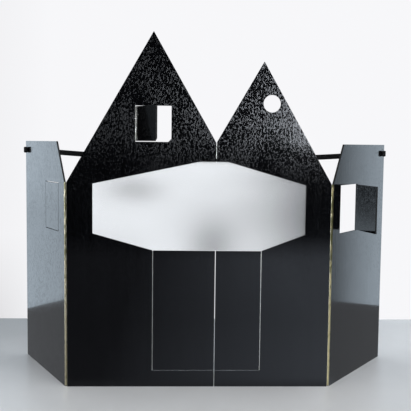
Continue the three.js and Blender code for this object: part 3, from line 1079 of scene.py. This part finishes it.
# Places from the seam, as a vector and as its parts
def placeOf(tree):
    coords = addNode(tree, "ShaderNodeTexCoord")
    moved = addNode(tree, "ShaderNodeVectorMath", operation="SUBTRACT")
    tree.links.new(coords.outputs["Object"], moved.inputs[0])
    moved.inputs[1].default_value = seam
    split = addNode(tree, "ShaderNodeSeparateXYZ")
    tree.links.new(moved.outputs["Vector"], split.inputs["Vector"])
    return moved.outputs["Vector"], split


# How bright the mirrored floor in front is along Y
frontFloorAlong = [(-5.2, 0.03), (-3.5, 1.0), (-1.2, 1.0), (-0.3, 1.25)]


# A value that runs straight between the given stops
def along(tree, source, stops):
    value = stops[0][1]
    for (x0, v0), (x1, v1) in zip(stops, stops[1:]):
        value = calc(tree, "ADD", spread(tree, source, x0, x1, 0.0, v1 - v0), value)
    return value


def makeFloor():
    clearSelection()
    bpy.ops.mesh.primitive_plane_add(size=studio["floorSize"])
    floor = bpy.context.object
    floor.name = "studio_floor"
    material, tree, shader = newMaterial("polished_floor")
    place, split = placeOf(tree)
    patches = cloud(tree, stretched(tree, place, studio["patchScale"]), 5.0, 0.6)
    # Painted shade in the floor's colour, darkest far to the left
    sideways = spread(tree, split.outputs["X"], *studio["leftToRight"], 0.0, 1.0)
    away = spread(tree, split.outputs["Y"], *studio["nearToFar"], 0.0, 1.0)
    tint = blendColour(
        tree,
        away,
        blendColour(tree, sideways, studio["floorNearLeft"], studio["floorNearRight"]),
        blendColour(tree, sideways, studio["floorFarLeft"], studio["floorFarRight"]),
    )
    patchy = scaled(tree, tint, spread(tree, patches, *studio["patches"]))
    tree.links.new(patchy, shader.inputs["Base Color"])
    shader.inputs["Roughness"].default_value = studio["floorRough"]
    shader.inputs["Specular IOR Level"].default_value = studio["floorSpecular"]
    # In reflections the floor glows instead, with this painted reflection
    lit = spread(tree, split.outputs["X"], *studio["litFrom"], 0.0, 1.0)
    front = blendColour(tree, lit, studio["frontFloorLeft"], studio["frontFloorRight"])
    front = scaled(tree, front, along(tree, split.outputs["Y"], frontFloorAlong))
    inFront = spread(tree, split.outputs["Y"], *studio["frontFrom"], 1.0, 0.0)
    mirrored = blendColour(tree, inFront, studio["floorMirrored"], front)
    path = addNode(tree, "ShaderNodeLightPath")
    notThrough = calc(tree, "SUBTRACT", 1.0, path.outputs["Is Transmission Ray"])
    inLacquer = calc(tree, "MULTIPLY", path.outputs["Is Glossy Ray"], notThrough)
    whole = mixShaders(tree, inLacquer, shader.outputs["BSDF"], glowOf(tree, mirrored))
    tree.links.new(whole, tree.nodes["Material Output"].inputs["Surface"])
    floor.data.materials.append(material)


# Soft shades on the wall that only show through the frosted film: place, reach and depth of each
filmShades = [
    ((0.76, 0.62), (0.42, 0.44), 1.0),
    ((0.04, 0.44), (0.15, 0.16), 0.56),
    ((-0.42, 0.77), (0.18, 0.08), 0.42),
    ((0.50, 0.83), (0.28, 0.06), 0.26),
    ((0.12, 0.62), (0.40, 0.16), 0.16),
    ((-0.55, 0.46), (0.30, 0.10), 0.14),
]
# A soft shade that only the open leaf of the right wing mirrors
leafShades = [((-0.5, 0.76), (0.38, 0.40), 0.95)]
# How bright the mirrored wall is along X
mirroredAcross = [
    (-2.2, 0.88),
    (-1.6, 0.92),
    (-1.0, 1.0),
    (1.0, 1.0),
    (1.70, 1.12),
    (1.82, 1.12),
    (1.90, 0.96),
    (1.97, 0.76),
    (2.06, 0.28),
    (2.70, 0.24),
]


# The share of light that soft round shades leave at a place on the wall
def shaded(tree, across, up, shades):
    light = None
    for (x, z), (wide, tall), depth in shades:
        dx = calc(tree, "DIVIDE", calc(tree, "SUBTRACT", across, x), wide)
        dz = calc(tree, "DIVIDE", calc(tree, "SUBTRACT", up, z), tall)
        reach = calc(tree, "ADD", calc(tree, "MULTIPLY", dx, dx), calc(tree, "MULTIPLY", dz, dz))
        soft = calc(tree, "EXPONENT", calc(tree, "MULTIPLY", reach, -1.0))
        lost = calc(tree, "SUBTRACT", 1.0, calc(tree, "MULTIPLY", soft, depth))
        light = lost if light is None else calc(tree, "MULTIPLY", light, lost)
    return light


def makeWallMaterial():
    material, tree, shader = newMaterial("studio_wall")
    split = placeOf(tree)[1]
    across, up, back = split.outputs["X"], split.outputs["Z"], split.outputs["Y"]
    path = addNode(tree, "ShaderNodeLightPath")

    def corner(ranges):
        sideways, upright = ranges
        return calc(
            tree,
            "MULTIPLY",
            spread(tree, across, *sideways),
            spread(tree, up, *upright),
        )

    # As seen, the wall is painted darker at its left end and in its low left corner: painted shade
    leftEnd = spread(tree, across, *studio["leftEnd"])
    wallShade = calc(tree, "SUBTRACT", leftEnd, corner(studio["lowLeft"]))
    seen = scaled(tree, studio["wall"], wallShade)
    # In reflections the wall glows with a painted reflection, its brightness set by place and
    # dimmed by soft painted shades
    glow = spread(tree, across, *studio["mirrorEnd"])
    for part in (
        along(tree, across, mirroredAcross),
        spread(tree, back, *studio["mirrorNear"]),
        shaded(tree, across, up, leafShades),
        calc(tree, "ADD", corner(studio["highLeft"]), 1.0),
    ):
        glow = calc(tree, "MULTIPLY", glow, part)
    mirrored = scaled(tree, studio["wallMirrored"], glow)
    through = scaled(tree, studio["wallThrough"], shaded(tree, across, up, filmShades))
    colour = blendColour(tree, path.outputs["Is Glossy Ray"], seen, mirrored)
    colour = blendColour(tree, path.outputs["Is Transmission Ray"], colour, through)
    tree.links.new(seen, shader.inputs["Base Color"])
    shader.inputs["Roughness"].default_value = studio["wallRough"]
    shader.inputs["Specular IOR Level"].default_value = studio["wallSpecular"]
    shown = calc(tree, "MAXIMUM", path.outputs["Is Camera Ray"], path.outputs["Is Glossy Ray"])
    shown = calc(tree, "MAXIMUM", shown, path.outputs["Is Transmission Ray"])
    inside = mixShaders(tree, shown, shader.outputs["BSDF"], glowOf(tree, colour))
    clear = addNode(tree, "ShaderNodeBsdfTransparent")
    shape = addNode(tree, "ShaderNodeNewGeometry")
    whole = mixShaders(tree, shape.outputs["Backfacing"], inside, clear.outputs["BSDF"])
    tree.links.new(whole, tree.nodes["Material Output"].inputs["Surface"])
    return material


def makeWall():
    clearSelection()
    left, right = studio["wallLeft"] + seam.x, studio["bendX"] + seam.x
    bpy.ops.mesh.primitive_plane_add(
        size=1,
        location=((left + right) / 2, studio["wallY"] + seam.y, studio["height"] / 2),
        rotation=(math.pi / 2, 0, 0),
    )
    wall = bpy.context.object
    wall.name = "studio_wall"
    wall.scale = (right - left, studio["height"], 1)
    settle(wall)
    pickEdges(wall, lambda a, b: min(a.x, b.x) > right - 0.001)
    for turn in studio["turns"]:
        bpy.ops.mesh.extrude_region_move(TRANSFORM_OT_translate={"value": turn})
    bpy.ops.object.mode_set(mode="OBJECT")
    wall.data.materials.append(makeWallMaterial())


def makeWorld():
    world = bpy.data.worlds.new("studio")
    scene.world = world
    world.use_nodes = True
    tree = world.node_tree
    coords = addNode(tree, "ShaderNodeTexCoord")
    split = addNode(tree, "ShaderNodeSeparateXYZ")
    tree.links.new(coords.outputs["Generated"], split.inputs["Vector"])
    overhead = spread(tree, split.outputs["Z"], *studio["overhead"])
    rear = spread(tree, split.outputs["Y"], *studio["behind"])
    colour = blendColour(
        tree,
        calc(tree, "MAXIMUM", overhead, rear),
        studio["worldDark"],
        studio["worldBright"],
    )
    path = addNode(tree, "ShaderNodeLightPath")
    background = tree.nodes["Background"]
    background.inputs["Strength"].default_value = 1.0
    tree.links.new(
        blendColour(tree, path.outputs["Is Camera Ray"], colour, studio["wall"]),
        background.inputs["Color"],
    )


# Each lamp's place, aim, size across and up, power and tone
lamps = {
    "ceiling": ((0.0, -1.0, 3.4), (0.0, 0.0, 0.0), (4.0, 4.0), 70, (1.0, 1.0, 1.0)),
    "window": ((1.9, -4.6, 1.5), (0.1, 0.0, 1.2), (1.2, 0.96), 102, (0.87, 0.92, 1.0)),
    "sideWindow": ((2.8, -2.7, 1.75), (0.0, 0.0, 0.9), (1.3, 1.5), 62, (0.96, 0.98, 1.0)),
    "leftSoft": ((-3.4, -1.4, 2.4), (0.0, 0.0, 0.8), (1.6, 1.6), 12, (1.0, 1.0, 1.0)),
}


def makeLamps():
    for name, (place, aim, (wide, tall), power, tone) in lamps.items():
        clearSelection()
        bpy.ops.object.light_add(type="AREA", location=seam + Vector(place))
        lamp = bpy.context.object
        lamp.name = name
        lamp.data.shape = "RECTANGLE"
        lamp.data.size = wide
        lamp.data.size_y = tall
        lamp.data.energy = power
        lamp.data.color = tone
        way = Vector(aim) - Vector(place)
        lamp.rotation_euler = way.to_track_quat("-Z", "Y").to_euler()


makeFloor()
makeWall()
makeWorld()
makeLamps()
print("floor, wall and lamps")
